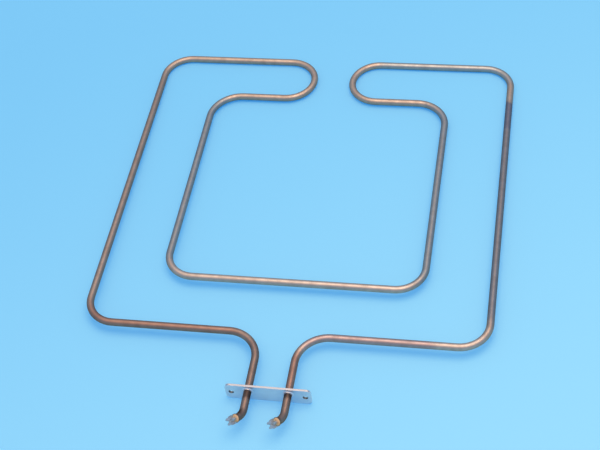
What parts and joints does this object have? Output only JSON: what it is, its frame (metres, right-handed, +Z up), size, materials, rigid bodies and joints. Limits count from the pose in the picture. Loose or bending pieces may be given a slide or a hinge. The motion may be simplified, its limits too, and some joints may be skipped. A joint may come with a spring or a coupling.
{
  "type": "tubular heating element",
  "caption": "Tubular oven heating element: round sheath bent into an outer and an inner rectangular loop, held by a screw-on flange plate, with push-on tabs at its ends.",
  "frame": {"origin": "midway between the two screw holes, on the face of the flange plate that seats on the oven wall (the terminal side)", "axes": "+Y along the straight legs into the oven, +X to the right along the flange, +Z up, square to the plane of the loops"},
  "size_m": [0.3556, 0.4373, 0.0205],
  "materials": {
    "oxidised_sheath": "drawn stainless steel tube, heat tinted coppery brown",
    "resistance_wire": "bright nickel chromium wire",
    "magnesia_powder": "compacted magnesium oxide powder",
    "pin_steel": "nickel plated steel rod",
    "seal_resin": "golden brown sealing resin",
    "plated_tab": "plated strip, slightly dulled",
    "plated_flange": "smooth plated steel sheet"
  },
  "bodies": {
    "root": {"sheath_tube": "oxidised_sheath", "resistance_coil": "resistance_wire", "insulation_core": "magnesia_powder", "cold_pin_left": "pin_steel", "cold_pin_right": "pin_steel", "end_seal_left": "seal_resin", "end_seal_right": "seal_resin", "terminal_left": "plated_tab", "terminal_right": "plated_tab", "flange_plate": "plated_flange"}
  },
  "joints": []
}
